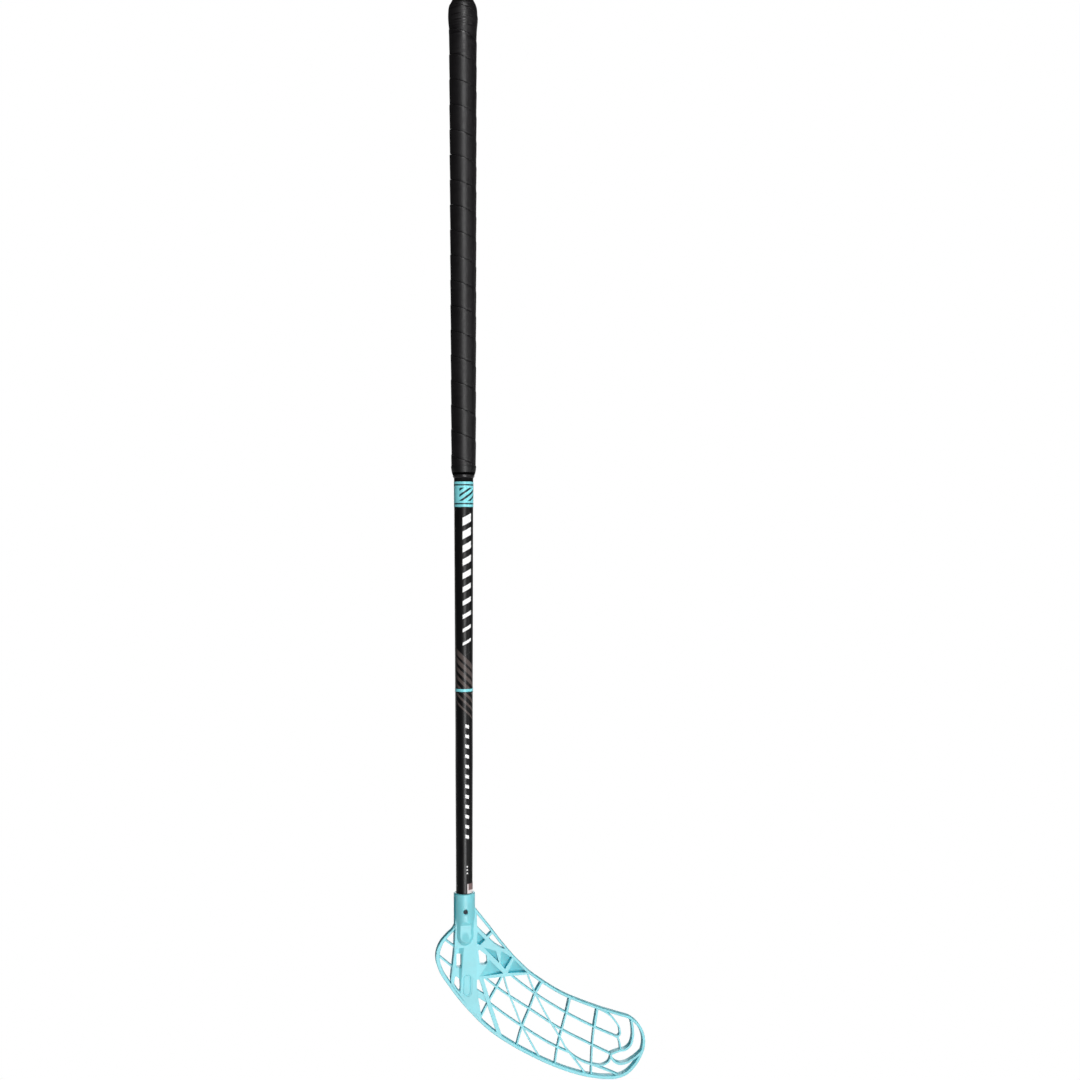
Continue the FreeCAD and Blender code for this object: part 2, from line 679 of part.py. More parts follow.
def capsules():
    """Cutters for the shallow long hollow on each face of the hub's foot."""
    top, end = [hub_place(*pair, HUB_FOOT_DROP) for pair in CAPSULE_SHARES]
    radius = CAPSULE_WIDTH / 2
    cutters = []
    for way in (-1, 1):
        lean = V(0, way * (hub_half_depth(end) - hub_half_depth(top)), end.z - top.z)
        outward = V(0, way * (top.z - end.z), hub_half_depth(end) - hub_half_depth(top)).normalize()
        outward = outward if outward.y * way > 0 else outward * -1
        base = top + V(0, way * hub_half_depth(top), 0) - outward * CAPSULE_SINK
        foot = base + lean
        across = V(radius, 0, 0)
        block = Part.Face(polyline([base - across, base + across, foot + across, foot - across]))
        ends = [Part.makeCylinder(radius, OVERRUN, centre, outward) for centre in (base, foot)]
        cutters.append(block.extrude(outward * OVERRUN).fuse(ends))
    return cutters


def blade():
    """Moulded blade: neck, hub, web, rim and ribs in one piece."""
    ribs = network(RIB_SHARES.values(), RIB_WIDTH, RIB_DEPTH)
    struts = network(STRUT_SHARES.values(), STRUT_WIDTH, STRUT_DEPTH)
    brace = plate(stroke(BRACE_SHARES, BRACE_WIDTH), STRUT_DEPTH)
    bridge = plate(stroke(BRIDGE_SHARES, BRIDGE_WIDTH), RIB_DEPTH)
    body = blade_rim().fuse(ribs + struts + [brace, bridge, blade_hub(), blade_web(), blade_neck()])
    cutters = capsules() + [socket_bore(), screw_hole(-1), screw_hole(1)]
    cutters.append(window([blade_place(*pair) for pair in PANE_SHARES]))
    for shares in (HUB_SLOT_SHARES, HUB_HEEL_SHARES):
        cutters.append(window([hub_place(*pair, BLADE_DROP) for pair in shares]))
    return body.cut(cutters).removeSplitter()


def main():
    """Build every piece and write it under its own name."""
    band_start = GRIP_END + END_BAND + BAND_GAP
    ring_end = RING_DISTANCE + RING_LENGTH
    pieces = {
        "shaft_tube": shaft_tube(),
        "end_cap": end_cap(),
        "grip_tape": grip_tape(),
        "grip_end_band": grip_end_band(),
        "upper_band": sleeve(band_start, band_start + BAND_LENGTH, FILM_LIFT, FILM),
        "lower_ring": sleeve(RING_DISTANCE, ring_end, FILM_LIFT, FILM),
        "foil_sticker": sticker(),
        "blade": blade(),
        "blade_screw_front": blade_screw(-1),
        "blade_screw_back": blade_screw(1),
    }
    os.makedirs("parts", exist_ok=True)
    for name, shape in pieces.items():
        shape.exportStep(f"parts/{name}.step")
        print(f"{name}: {len(shape.Solids)} solid, {shape.Volume:.1f} mm3, valid {shape.isValid()}")
    print(f"grip winding: {strip_turns():.1f} turns, least gap to itself {strip_gap():.2f} mm")


main()
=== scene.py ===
"""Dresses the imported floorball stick: its wound grip, printed shaft and moulded blade, on a white set.

The frame's Z runs up the shaft to the butt, the toe of the blade is at +X, and the side that the camera
sees faces -Y. Lengths are in metres, and a distance is measured from the butt down the stick.
"""

import logging
import math
from dataclasses import dataclass
from enum import Enum

import bmesh
import bpy
from mathutils import Euler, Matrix, Quaternion, Vector, noise


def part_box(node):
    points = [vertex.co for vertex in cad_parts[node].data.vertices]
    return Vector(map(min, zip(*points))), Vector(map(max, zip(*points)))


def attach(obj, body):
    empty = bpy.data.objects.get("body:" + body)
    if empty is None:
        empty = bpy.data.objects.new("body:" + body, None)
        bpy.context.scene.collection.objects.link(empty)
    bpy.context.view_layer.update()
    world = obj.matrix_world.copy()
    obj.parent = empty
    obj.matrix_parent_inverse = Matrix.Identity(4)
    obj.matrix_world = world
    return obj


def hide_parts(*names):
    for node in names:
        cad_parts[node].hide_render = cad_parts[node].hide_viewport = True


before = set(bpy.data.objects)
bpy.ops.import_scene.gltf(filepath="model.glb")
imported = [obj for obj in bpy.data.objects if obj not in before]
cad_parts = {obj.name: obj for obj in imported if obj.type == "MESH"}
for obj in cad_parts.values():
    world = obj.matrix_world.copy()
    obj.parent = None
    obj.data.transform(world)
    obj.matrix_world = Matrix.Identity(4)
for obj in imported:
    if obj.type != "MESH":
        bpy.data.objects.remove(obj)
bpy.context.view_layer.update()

log = logging.getLogger("stick")

MM = 0.001
BODY = "root"
WELD = 0.002 * MM
NOISE_MIDDLE = 0.5
# Name of the face mark for the blade walls that get painted shade.
SHADED_WALL_MARK = "shaded_wall"

Span = tuple[float, float]
Place = tuple[float, float, float]
Colour = tuple[float, float, float, float]


def tone(red: float, green: float, blue: float) -> Colour:
    """Turn a screen colour into the linear colour that a shader reads.

    Args:
        red, green, blue: The colour as it shows on a screen, from 0 to 255.

    Returns:
        The linear colour, opaque.
    """
    # The numbers are those of the standard curve for screens.
    shares = [channel / 255 for channel in (red, green, blue)]
    linear = [share / 12.92 if share <= 0.04045 else ((share + 0.055) / 1.055) ** 2.4 for share in shares]
    return (*linear, 1.0)


def shaded(colour: Colour, factor: float) -> Colour:
    """Return a linear colour that is lighter or darker by a factor."""
    return (*(min(1.0, channel * factor) for channel in colour[:3]), 1.0)


class Number:
    """A number that varies over a surface: arithmetic on it adds Math nodes."""

    def __init__(self, graph: "Graph", socket: bpy.types.NodeSocket) -> None:
        """Wrap an output socket of a graph."""
        self.graph = graph
        self.socket = socket

    def __add__(self, other: "Number | float") -> "Number":
        """Add a number."""
        return self.graph.math("ADD", self, other)

    def __radd__(self, other: float) -> "Number":
        """Add this to a plain number."""
        return self.graph.math("ADD", other, self)

    def __sub__(self, other: "Number | float") -> "Number":
        """Take a number away."""
        return self.graph.math("SUBTRACT", self, other)

    def __rsub__(self, other: float) -> "Number":
        """Take this away from a plain number."""
        return self.graph.math("SUBTRACT", other, self)

    def __mul__(self, other: "Number | float") -> "Number":
        """Multiply by a number."""
        return self.graph.math("MULTIPLY", self, other)

    def __rmul__(self, other: float) -> "Number":
        """Multiply a plain number by this."""
        return self.graph.math("MULTIPLY", other, self)

    def __truediv__(self, other: "Number | float") -> "Number":
        """Divide by a number."""
        return self.graph.math("DIVIDE", self, other)

    def __abs__(self) -> "Number":
        """Drop the sign."""
        return self.graph.math("ABSOLUTE", self)

    def fraction(self) -> "Number":
        """Keep what is over a whole number."""
        return self.graph.math("FRACT", self)

    def or_more(self, other: "Number | float") -> "Number":
        """Take the larger of two numbers."""
        return self.graph.math("MAXIMUM", self, other)

    def step(self, low: float, high: float) -> "Number":
        """Rise smoothly from 0 to 1.

        Args:
            low: Where the rise starts.
            high: Where it ends.

        Returns:
            The smooth step.
        """
        sockets = {"Value": self, "From Min": low, "From Max": high}
        node = self.graph.node("ShaderNodeMapRange", {"interpolation_type": "SMOOTHSTEP"}, sockets)
        return Number(self.graph, node.outputs["Result"])

    def within(self, low: float, high: float, soft: float) -> "Number":
        """Return 1 between two ends and 0 outside them, blended over a soft length at each end."""
        half = soft / 2
        return self.step(low - half, low + half) * (1 - self.step(high - half, high + half))


Socket = bpy.types.NodeSocket | Number | float | tuple


class Graph:
    """The node tree of a material or of the world."""

    def __init__(self, tree: bpy.types.NodeTree) -> None:
        """Start with an empty tree."""
        tree.nodes.clear()
        self.tree = tree

    def node(
        self, kind: str, settings: dict[str, object], sockets: dict[str | int, Socket]
    ) -> bpy.types.Node:
        """Add a node.

        Args:
            kind: The node's type.
            settings: Its own settings, which are set first.
            sockets: A value or a link for each input, by name or number.

        Returns:
            The new node.
        """
        made = self.tree.nodes.new(kind)
        for name, value in settings.items():
            setattr(made, name, value)
        for name, value in sockets.items():
            if isinstance(value, Number):
                value = value.socket
            if isinstance(value, bpy.types.NodeSocket):
                self.tree.links.new(value, made.inputs[name])
            else:
                made.inputs[name].default_value = value
        return made

    def math(self, operation: str, *terms: Number | float) -> Number:
        """Return the result of a Math node that works on some terms."""
        made = self.node("ShaderNodeMath", {"operation": operation}, dict(enumerate(terms)))
        return Number(self, made.outputs["Value"])

    def mix(self, share: Number | float, first: Socket, second: Socket) -> bpy.types.NodeSocket:
        """Return a mix of two colours, of which the second has the share."""
        made = self.node("ShaderNodeMix", {"data_type": "RGBA"}, {0: share, 6: first, 7: second})
        return made.outputs[2]

    def place(self) -> bpy.types.NodeSocket:
        """Return the place on the piece, in metres."""
        return self.node("ShaderNodeTexCoord", {}, {}).outputs["Object"]

    def axes(self) -> tuple[Number, Number, Number]:
        """Split the place on the piece.

        Returns:
            The place along X, Y and Z.
        """
        parts = self.node("ShaderNodeSeparateXYZ", {}, {"Vector": self.place()})
        across, deep, up = (Number(self, parts.outputs[name]) for name in "XYZ")
        return across, deep, up

    def stretched(self, scale: Place) -> bpy.types.NodeSocket:
        """Return the place on the piece, scaled along each axis."""
        made = self.node("ShaderNodeMapping", {}, {"Vector": self.place(), "Scale": scale})
        return made.outputs["Vector"]

    def mark(self, name: str) -> Number:
        """Return the number that is stored under a name on the piece's faces."""
        made = self.node("ShaderNodeAttribute", {"attribute_name": name}, {})
        return Number(self, made.outputs["Fac"])

    def clouds(self, size: float, detail: float = 3.0, stretch: Place = (1, 1, 1)) -> Number:
        """Make smooth noise on the piece.

        Args:
            size: Size of a patch.
            detail: How many finer layers are added.
            stretch: How much longer the patches are along each axis.

        Returns:
            The noise, about 0.5 in the middle.
        """
        place = self.stretched(tuple(1 / (size * way) for way in stretch))
        made = self.node("ShaderNodeTexNoise", {}, {"Vector": place, "Scale": 1.0, "Detail": detail})
        return Number(self, made.outputs["Fac"])

    def pebbles(self, size: float, roundness: float = 0.6) -> Number:
        """Make a grain of small rounded pebbles.

        Args:
            size: Size of one pebble.
            roundness: How softly the pebbles meet.

        Returns:
            The grain's height, from 0 in the creases.
        """
        sockets = {"Vector": self.stretched((1 / size,) * 3), "Scale": 1.0, "Smoothness": roundness}
        made = self.node("ShaderNodeTexVoronoi", {"feature": "SMOOTH_F1"}, sockets)
        return 1 - Number(self, made.outputs["Distance"])

    def bump(self, height: Number, depth: float, strength: float) -> bpy.types.NodeSocket:
        """Return a normal that follows a height, of which 1 measures the depth."""
        made = self.node("ShaderNodeBump", {}, {"Height": height, "Distance": depth, "Strength": strength})
        return made.outputs["Normal"]


@dataclass(frozen=True)
class Wrapped:
    """Place on the shaft's skin, as a printer sees it."""

    distance: Number
    arc: Number

    @classmethod
    def on(cls, graph: Graph, butt: float, middle: float, radius: float) -> "Wrapped":
        """Read the place from a graph.

        Args:
            graph: The graph to add the nodes to.
            butt: Height of the butt.
            middle: Angle of the print's middle line, to the right of the front.
            radius: Radius of the skin.

        Returns:
            The distance from the butt and the length of arc to the right of the middle line.
        """
        across, deep, up = graph.axes()
        angle = graph.math("ARCTAN2", across, deep * -1)
        return cls(butt - up, (angle - middle) * radius)


@dataclass(frozen=True)
class PrintRow:
    """A row of like marks that is printed down the shaft."""

    start: float
    end: float
    pitch: float
    slant: float = 0.0

    def down(self, skin: Wrapped) -> Number:
        """Return the distance from the butt, skewed so that it is level along a slanted mark."""
        return skin.distance + skin.arc * self.slant

    def phase(self, skin: Wrapped) -> Number:
        """Return the place within one pitch, from 0 to 1."""
        return ((self.down(skin) - self.start) / self.pitch).fraction()

    def share(self, distance: Number) -> Number:
        """Return how far down the row a distance is, from 0 to 1."""
        return (distance - self.start) / (self.end - self.start)

    def inside(self, skin: Wrapped, soft: float) -> Number:
        """Return 1 between the row's ends, which are soft over a length."""
        return self.down(skin).within(self.start, self.end, soft)


@dataclass(frozen=True)
class Finish:
    """A surface with its colour, gloss, patches and grain, which each kind of surface lays on."""

    name: str
    colour: Colour
    roughness: float
    gloss: float = 0.5
    patch: float = 7 * MM
    patch_rise: Span = (0.3, 0.7)
    patch_shade: float = 1.4
    patch_rough: float = 0.1
    grain: float = 0.5 * MM
    grain_depth: float = 0.02 * MM
    grain_strength: float = 0.5

    def paint(self, graph: Graph) -> dict[str, Socket]:
        """Return a value or a link for each socket of the shader, from nodes in the graph."""
        raise NotImplementedError

    def shade(self, graph: Graph, patches: Number) -> bpy.types.NodeSocket:
        """Return the colour, shaded in patches."""
        return graph.mix(patches.step(*self.patch_rise), self.colour, shaded(self.colour, self.patch_shade))

    def wear(self, patches: Number) -> Number:
        """Return the roughness, uneven in patches."""
        return self.roughness + (patches - NOISE_MIDDLE) * self.patch_rough

    def relief(self, graph: Graph, height: Number) -> bpy.types.NodeSocket:
        """Return the normal of a grain with some height."""
        return graph.bump(height, self.grain_depth, self.grain_strength)

    def material(self) -> bpy.types.Material:
        """Make the material.

        Returns:
            The material, with its nodes.
        """
        made = bpy.data.materials.new(self.name)
        made.use_nodes = True
        graph = Graph(made.node_tree)
        fixed = {"Specular IOR Level": self.gloss}
        surface = graph.node("ShaderNodeBsdfPrincipled", {}, fixed | self.paint(graph))
        graph.node("ShaderNodeOutputMaterial", {}, {"Surface": surface.outputs["BSDF"]})
        return made


@dataclass(frozen=True)
class Rubber(Finish):
    """Dull rubber with a fine grain and a little bloom."""

    name: str = "cap_rubber_dull"
    colour: Colour = tone(24, 24, 25)
    roughness: float = 0.6
    patch: float = 9 * MM
    patch_rise: Span = (0.35, 0.75)
    patch_shade: float = 1.7
    patch_rough: float = 0.15

    def paint(self, graph: Graph) -> dict[str, Socket]:
        """Lay the bloom and the grain on the rubber.

        Args:
            graph: The graph to add the nodes to.

        Returns:
            A value or a link for each socket of the shader.
        """
        bloom = graph.clouds(self.patch)
        return {
            "Base Color": self.shade(graph, bloom),
            "Roughness": self.wear(bloom),
            "Normal": self.relief(graph, graph.pebbles(self.grain)),
        }


@dataclass(frozen=True)
class EndVinyl(Finish):
    """Stretched vinyl with a band of painted shade where it narrows over the edge of the winding, and a
    lighter, glossier lower ring whose lighter tone is a painted highlight.
    """

    name: str = "end_band_vinyl"
    colour: Colour = tone(9, 9, 10)
    roughness: float = 0.46
    grain_depth: float = 0.01 * MM
    top: float = 0.0
    # The band where the vinyl narrows is darkened with metal on the black: painted shade.
    shade_band: Span = (6.9 * MM, 9.6 * MM)
    shade_band_edge: float = 1.0 * MM
    shade_band_rough: float = 0.4
    ring: Span = (9.8 * MM, 12.8 * MM)
    ring_edge: float = 0.8 * MM
    # Lighter tone of the lower ring: a painted highlight.
    ring_highlight_tone: Colour = tone(30, 29, 31)
    ring_polish: float = 0.14

    def paint(self, graph: Graph) -> dict[str, Socket]:
        """Lay the band of painted shade and the ring with its painted highlight on the vinyl.

        Args:
            graph: The graph to add the nodes to.

        Returns:
            A value or a link for each socket of the shader.
        """
        patches = graph.clouds(self.patch)
        drop = self.top - graph.axes()[2]
        # Painted shade: metal on the black darkens the band where the vinyl narrows.
        painted_dark_band = drop.within(*self.shade_band, self.shade_band_edge)
        ring = drop.within(*self.ring, self.ring_edge)
        return {
            # The lower ring is lighter: painted highlight.
            "Base Color": graph.mix(ring, self.shade(graph, patches), self.ring_highlight_tone),
            "Roughness": self.wear(patches) + painted_dark_band * self.shade_band_rough - ring * self.ring_polish,
            "Metallic": painted_dark_band,
            "Normal": self.relief(graph, graph.pebbles(self.grain)),
        }


@dataclass(frozen=True)
class GripFoam(Finish):
    """Tacky padded tape: a fine leather grain, a worn sheen and stretch lines over the knob."""

    name: str = "grip_foam"
    colour: Colour = tone(12, 10, 12)
    roughness: float = 0.47
    patch: float = 18 * MM
    grain: float = 0.6 * MM
    grain_depth: float = 0.03 * MM
    butt: float = 0.0
    knob: Span = (22 * MM, 88 * MM)
    line: float = 1.3 * MM
    line_stretch: Place = (25, 25, 1)
    line_height: float = 1.5
    line_rough: float = 0.25
    knob_line_height: float = 12.0
    knob_line_rough: float = 0.7

    def paint(self, graph: Graph) -> dict[str, Socket]:
        """Lay the grain and the stretch lines on the tape.

        Args:
            graph: The graph to add the nodes to.

        Returns:
            A value or a link for each socket of the shader.
        """
        patches = graph.clouds(self.patch)
        lines = graph.clouds(self.line, detail=1.0, stretch=self.line_stretch)
        near = 1 - (self.butt - graph.axes()[2]).step(*self.knob)
        height = graph.pebbles(self.grain) + lines * (self.line_height + near * self.knob_line_height)
        streaks = (lines - NOISE_MIDDLE) * (self.line_rough + near * self.knob_line_rough)
        return {
            "Base Color": self.shade(graph, patches),
            "Roughness": self.wear(patches) + streaks,
            "Normal": self.relief(graph, height),
        }


@dataclass(frozen=True)
class ShaftLacquer(Finish):
    """Satin lacquer over drawn fibres, with a print of plain bars, stripes and dashes."""

    name: str = "satin_lacquer"
    colour: Colour = tone(8, 8, 9)
    roughness: float = 0.36
    gloss: float = 0.38
    patch: float = 40 * MM
    patch_shade: float = 1.6
    patch_rough: float = 0.12
    grain: float = 0.9 * MM
    grain_strength: float = 0.4
    butt: float = 0.0
    fibre_stretch: Place = (1, 1, 30)
    fibre_height: float = 0.4
    # A band just below the end band, made darker with metal and more roughness on the black.
    dark_band: Span = (512 * MM, 517.5 * MM)
    dark_band_rough: float = 0.5
    dark_band_metal: float = 0.5
    print_angle: float = math.radians(13.5)
    print_radius: float = 9.6 * MM
    print_white: Colour = tone(244, 244, 244)
    print_edge: float = 0.25 * MM
    print_height: float = 0.6
    print_rough: float = 0.08
    bar_row: PrintRow = PrintRow(553 * MM, 701 * MM, 14.8 * MM, 0.55)
    bar_reach: float = 4.7 * MM
    bar_fill: float = 0.62
    bar_thinning: float = 0.44
    bar_soft: float = 0.012
    dash_row: PrintRow = PrintRow(775 * MM, 903 * MM, 10.7 * MM, -0.3)
    dash_reach: float = 2.2 * MM
    dash_span: Span = (0.12, 0.46)
    dash_soft: float = 0.03
    dot_row: PrintRow = PrintRow(926 * MM, 936.5 * MM, 3.5 * MM)
    dot_rim: Span = (0.04, 0.08)
    stripe_row: PrintRow = PrintRow(706 * MM, 771 * MM, 9.3 * MM, -0.9)
    stripe_brown: Colour = tone(88, 79, 76)
    stripe_cover: float = 0.85
    stripe_fade: Span = (9 * MM, 15 * MM)
    stripe_fill: float = 0.72
    stripe_thinning: float = 0.5
    stripe_soft: float = 0.04

    def bars(self, skin: Wrapped) -> Number:
        """Draw the slanted bars, which get thinner down the shaft.

        Args:
            skin: Place on the shaft.

        Returns:
            The mask of the bars.
        """
        row = self.bar_row
        thickness = self.bar_fill - row.share(skin.distance) * self.bar_thinning
        bar = (thickness - row.phase(skin)).step(-self.bar_soft, self.bar_soft)
        band = skin.arc.within(-self.bar_reach, self.bar_reach, self.print_edge)
        return bar * band * row.inside(skin, self.print_edge)

    def dashes(self, skin: Wrapped) -> Number:
        """Draw the row of small dashes.

        Args:
            skin: Place on the shaft.

        Returns:
            The mask of the dashes.
        """
        row = self.dash_row
        dash = row.phase(skin).within(*self.dash_span, self.dash_soft)
        band = skin.arc.within(-self.dash_reach, self.dash_reach, self.print_edge)
        return dash * band * row.inside(skin, self.print_edge)

    def dots(self, skin: Wrapped) -> Number:
        """Draw the small round dots.

        Args:
            skin: Place on the shaft.

        Returns:
            The mask of the dots.
        """
        row = self.dot_row
        along = row.phase(skin) - 0.5
        across = skin.arc / row.pitch
        away = along * along + across * across
        return (1 - away.step(*self.dot_rim)) * row.inside(skin, self.print_edge)

    def stripes(self, skin: Wrapped) -> Number:
        """Draw the soft slanted stripes, which thin out down the shaft and fade towards its sides.

        Args:
            skin: Place on the shaft.

        Returns:
            The mask of the stripes.
        """
        row = self.stripe_row
        thickness = self.stripe_fill - row.share(row.down(skin)) * self.stripe_thinning
        bar = (thickness - row.phase(skin)).step(-self.stripe_soft, self.stripe_soft)
        fade = 1 - abs(skin.arc).step(*self.stripe_fade)
        return bar * fade * row.inside(skin, self.print_edge)

    def paint(self, graph: Graph) -> dict[str, Socket]:
        """Lay the fibres, the print and the darker, duller band below the end band on the shaft.

        Args:
            graph: The graph to add the nodes to.

        Returns:
            A value or a link for each socket of the shader.
        """
        skin = Wrapped.on(graph, self.butt, self.print_angle, self.print_radius)
        fibres = graph.clouds(self.grain, detail=2.0, stretch=self.fibre_stretch)
        haze = graph.clouds(self.patch)
        bare = self.shade(graph, fibres)
        striped = graph.mix(self.stripes(skin) * self.stripe_cover, bare, self.stripe_brown)
        white = self.bars(skin).or_more(self.dashes(skin)).or_more(self.dots(skin))
        # The band below the end band is darkened with metal and more roughness.
        darkened = skin.distance.within(*self.dark_band, self.print_edge)
        return {
            "Base Color": graph.mix(white, striped, self.print_white),
            "Roughness": self.wear(haze) + white * self.print_rough + darkened * self.dark_band_rough,
            "Metallic": darkened * self.dark_band_metal,
            "Normal": self.relief(graph, fibres * self.fibre_height + white * self.print_height),
        }


@dataclass(frozen=True)
class BandFilm(Finish):
    """Glossy colour film with dark borders, and with thin dark rings and a hatch where it is wide."""

    name: str = "teal_film"
    colour: Colour = tone(128, 214, 222)
    roughness: float = 0.34
    patch: float = 6 * MM
    patch_shade: float = 1.12
    grain: float = 2.5 * MM
    grain_strength: float = 0.3
    top: float = 0.0
    length: float = 0.0
    coloured: Span = (-1.0, 2.0)
    coloured_edge: float = 0.04
    border: Colour = tone(14, 16, 17)
    hatched: bool = False
    ink: Colour = tone(12, 40, 46)
    radius: float = 10.3 * MM
    upper_ring: Span = (0.10, 0.155)
    lower_ring: Span = (0.845, 0.90)
    ring_edge: float = 0.01
    field: Span = (0.24, 0.76)
    field_arc: Span = (-8.5 * MM, 12.5 * MM)
    field_edge: float = 0.3 * MM
    hatch_pitch: float = 6.4 * MM
    hatch_slant: float = 0.7
    hatch_line: Span = (0.25, 0.65)
    hatch_soft: float = 0.04

    def hatch(self, graph: Graph) -> Number:
        """Draw the dark rings and the slanted hatch between them.

        Args:
            graph: The graph to add the nodes to.

        Returns:
            The mask of the rings and the hatch.
        """
        skin = Wrapped.on(graph, self.top, ShaftLacquer.print_angle, self.radius)
        share = skin.distance / self.length
        rings = share.within(*self.upper_ring, self.ring_edge)
        rings = rings.or_more(share.within(*self.lower_ring, self.ring_edge))
        slanted = (skin.distance + skin.arc * self.hatch_slant) / self.hatch_pitch
        lines = slanted.fraction().within(*self.hatch_line, self.hatch_soft)
        field = skin.arc.within(*self.field_arc, self.field_edge)
        return rings.or_more(lines * field * share.within(*self.field, self.ring_edge))

    def paint(self, graph: Graph) -> dict[str, Socket]:
        """Lay the tint, the dark borders and the hatch on the film.

        Args:
            graph: The graph to add the nodes to.

        Returns:
            A value or a link for each socket of the shader.
        """
        tint = graph.clouds(self.patch)
        share = (self.top - graph.axes()[2]) / self.length
        inner = share.within(*self.coloured, self.coloured_edge)
        colour = graph.mix(inner, self.border, self.shade(graph, tint))
        if self.hatched:
            colour = graph.mix(self.hatch(graph), colour, self.ink)
        return {
            "Base Color": colour,
            "Roughness": self.wear(tint),
            "Normal": self.relief(graph, graph.clouds(self.grain)),
        }


@dataclass(frozen=True)
class LabelFoil(Finish):
    """Crinkled pale foil with one plain panel."""

    name: str = "pale_foil"
    colour: Colour = tone(236, 230, 230)
    roughness: float = 0.4
    patch: float = 1.6 * MM
    patch_rise: Span = (0.35, 0.65)
    patch_rough: float = 0.25
    grain_depth: float = 0.05 * MM
    glint: Colour = tone(240, 222, 222)
    metal: float = 0.2
    top: float = 0.0
    length: float = 0.0
    start: float = math.radians(14)
    radius: float = 8.9 * MM
    panel: Colour = tone(112, 84, 82)
    panel_cover: float = 0.9
    panel_arc: Span = (1.2 * MM, 14 * MM)
    panel_arc_edge: float = 0.3 * MM
    panel_share: Span = (-0.2, 0.66)
    panel_share_edge: float = 0.04

    def paint(self, graph: Graph) -> dict[str, Socket]:
        """Lay the crinkles and the panel on the foil.

        Args:
            graph: The graph to add the nodes to.

        Returns:
            A value or a link for each socket of the shader.
        """
        crinkle = graph.clouds(self.patch, detail=4.0)
        sheen = graph.mix(crinkle.step(*self.patch_rise), self.colour, self.glint)
        skin = Wrapped.on(graph, self.top, self.start, self.radius)
        across = skin.arc.within(*self.panel_arc, self.panel_arc_edge)
        along = (skin.distance / self.length).within(*self.panel_share, self.panel_share_edge)
        return {
            "Base Color": graph.mix(across * along * self.panel_cover, sheen, self.panel),
            "Roughness": self.wear(crinkle),
            "Metallic": self.metal,
            "Normal": self.relief(graph, crinkle),
        }


@dataclass(frozen=True)
class MouldedPlastic(Finish):
    """Tough moulded plastic: a faint flow, a fine grain, a rougher patch on the neck and walls, where
    painted shade darkens both.
    """

    name: str = "turquoise_plastic"
    colour: Colour = tone(126, 212, 222)
    roughness: float = 0.48
    gloss: float = 1.0
    patch: float = 24 * MM
    patch_rise: Span = (0.35, 0.7)
    patch_shade: float = 0.9
    patch_rough: float = 0.12
    flow_stretch: Place = (2, 1, 1)
    grain: float = 0.35 * MM
    grain_depth: float = 0.03 * MM
    grain_rough: float = 0.1
    soak: float = 0.2
    soak_tint: Place = (0.3, 1.0, 1.0)
    soak_depth: float = 1.5 * MM
    # Deeper tone laid on the upright walls: painted shade, lighter on the thin ribs.
    wall_shade_tone: Colour = tone(68, 198, 214)
    thin_ribs: Span = (60 * MM, 90 * MM)
    rib_shade_loss: float = 0.5
    neck_top: float = 0.0
    # A patch at the end of the neck: rougher, and darker with painted shade.
    dull_shade_drop: float = 47 * MM
    dull_shade_size: Span = (4.5 * MM, 7.5 * MM)
    dull_shade_rim: Span = (0.3, 1.1)
    dull_shade_front: Span = (-2 * MM, -1 * MM)
    dull_shade_rough: float = 0.3

    def dull_shade(self, graph: Graph) -> Number:
        """Place the thumb-shaped patch on the front, at the end of the neck, which is rougher and darker
        with painted shade.

        Args:
            graph: The graph to add the nodes to.

        Returns:
            The mask of the patch.
        """
        across, deep, up = graph.axes()
        half_width, half_length = self.dull_shade_size
        side = across / half_width
        along = (self.neck_top - up - self.dull_shade_drop) / half_length
        patch = 1 - (side * side + along * along).step(*self.dull_shade_rim)
        return patch * (1 - deep.step(*self.dull_shade_front))

    def walls(self, graph: Graph) -> Number:
        """Return the mask of painted shade on the walls, which is deeper on the thick parts than on the
        ribs.
        """
        thin = graph.axes()[0].step(*self.thin_ribs)
        return graph.mark(SHADED_WALL_MARK) * (1 - thin * self.rib_shade_loss)

    def paint(self, graph: Graph) -> dict[str, Socket]:
        """Lay the flow, the grain, the rougher neck patch with its painted shade and the painted wall shade
        on the plastic.

        Args:
            graph: The graph to add the nodes to.

        Returns:
            A value or a link for each socket of the shader.
        """
        flow = graph.clouds(self.patch, detail=4.0, stretch=self.flow_stretch)
        grain = graph.clouds(self.grain, detail=2.0)
        dull_shade = self.dull_shade(graph)
        # The patch takes the deeper tone throughout: painted shade.
        bright = (1 - dull_shade) * flow.step(*self.patch_rise)
        level = graph.mix(bright, shaded(self.colour, self.patch_shade), self.colour)
        specks = (grain - NOISE_MIDDLE) * self.grain_rough
        return {
            # The walls take a deeper tone here: painted shade.
            "Base Color": graph.mix(self.walls(graph), level, self.wall_shade_tone),
            "Roughness": self.wear(flow) + specks + dull_shade * self.dull_shade_rough,
            "Subsurface Weight": self.soak,
            "Subsurface Radius": self.soak_tint,
            "Subsurface Scale": self.soak_depth,
            "Normal": self.relief(graph, grain + flow),
        }


@dataclass(frozen=True)
class ScrewSteel(Finish):
    """Blackened steel with turned marks."""

    name: str = "black_screw_steel"
    colour: Colour = tone(34, 38, 42)
    roughness: float = 0.5
    patch: float = 0.25 * MM
    patch_shade: float = 2.2
    patch_rough: float = 0.3

    def paint(self, graph: Graph) -> dict[str, Socket]:
        """Lay the marks on the steel.

        Args:
            graph: The graph to add the nodes to.

        Returns:
            A value or a link for each socket of the shader.
        """
        marks = graph.clouds(self.patch)
        return {
            "Base Color": graph.mix(marks, self.colour, shaded(self.colour, self.patch_shade)),
            "Metallic": 1.0,
            "Roughness": self.wear(marks),
            "Normal": self.relief(graph, marks),
        }


class Slot(Enum):
    """Names of material slots for the new pieces, which nothing here uses."""

    GRIP_WRAP = "grip_wrap"
    CAP_RUBBER = "cap_rubber"
    END_BAND_RUBBER = "end_band_rubber"
    BLADE_PLASTIC = "blade_plastic"


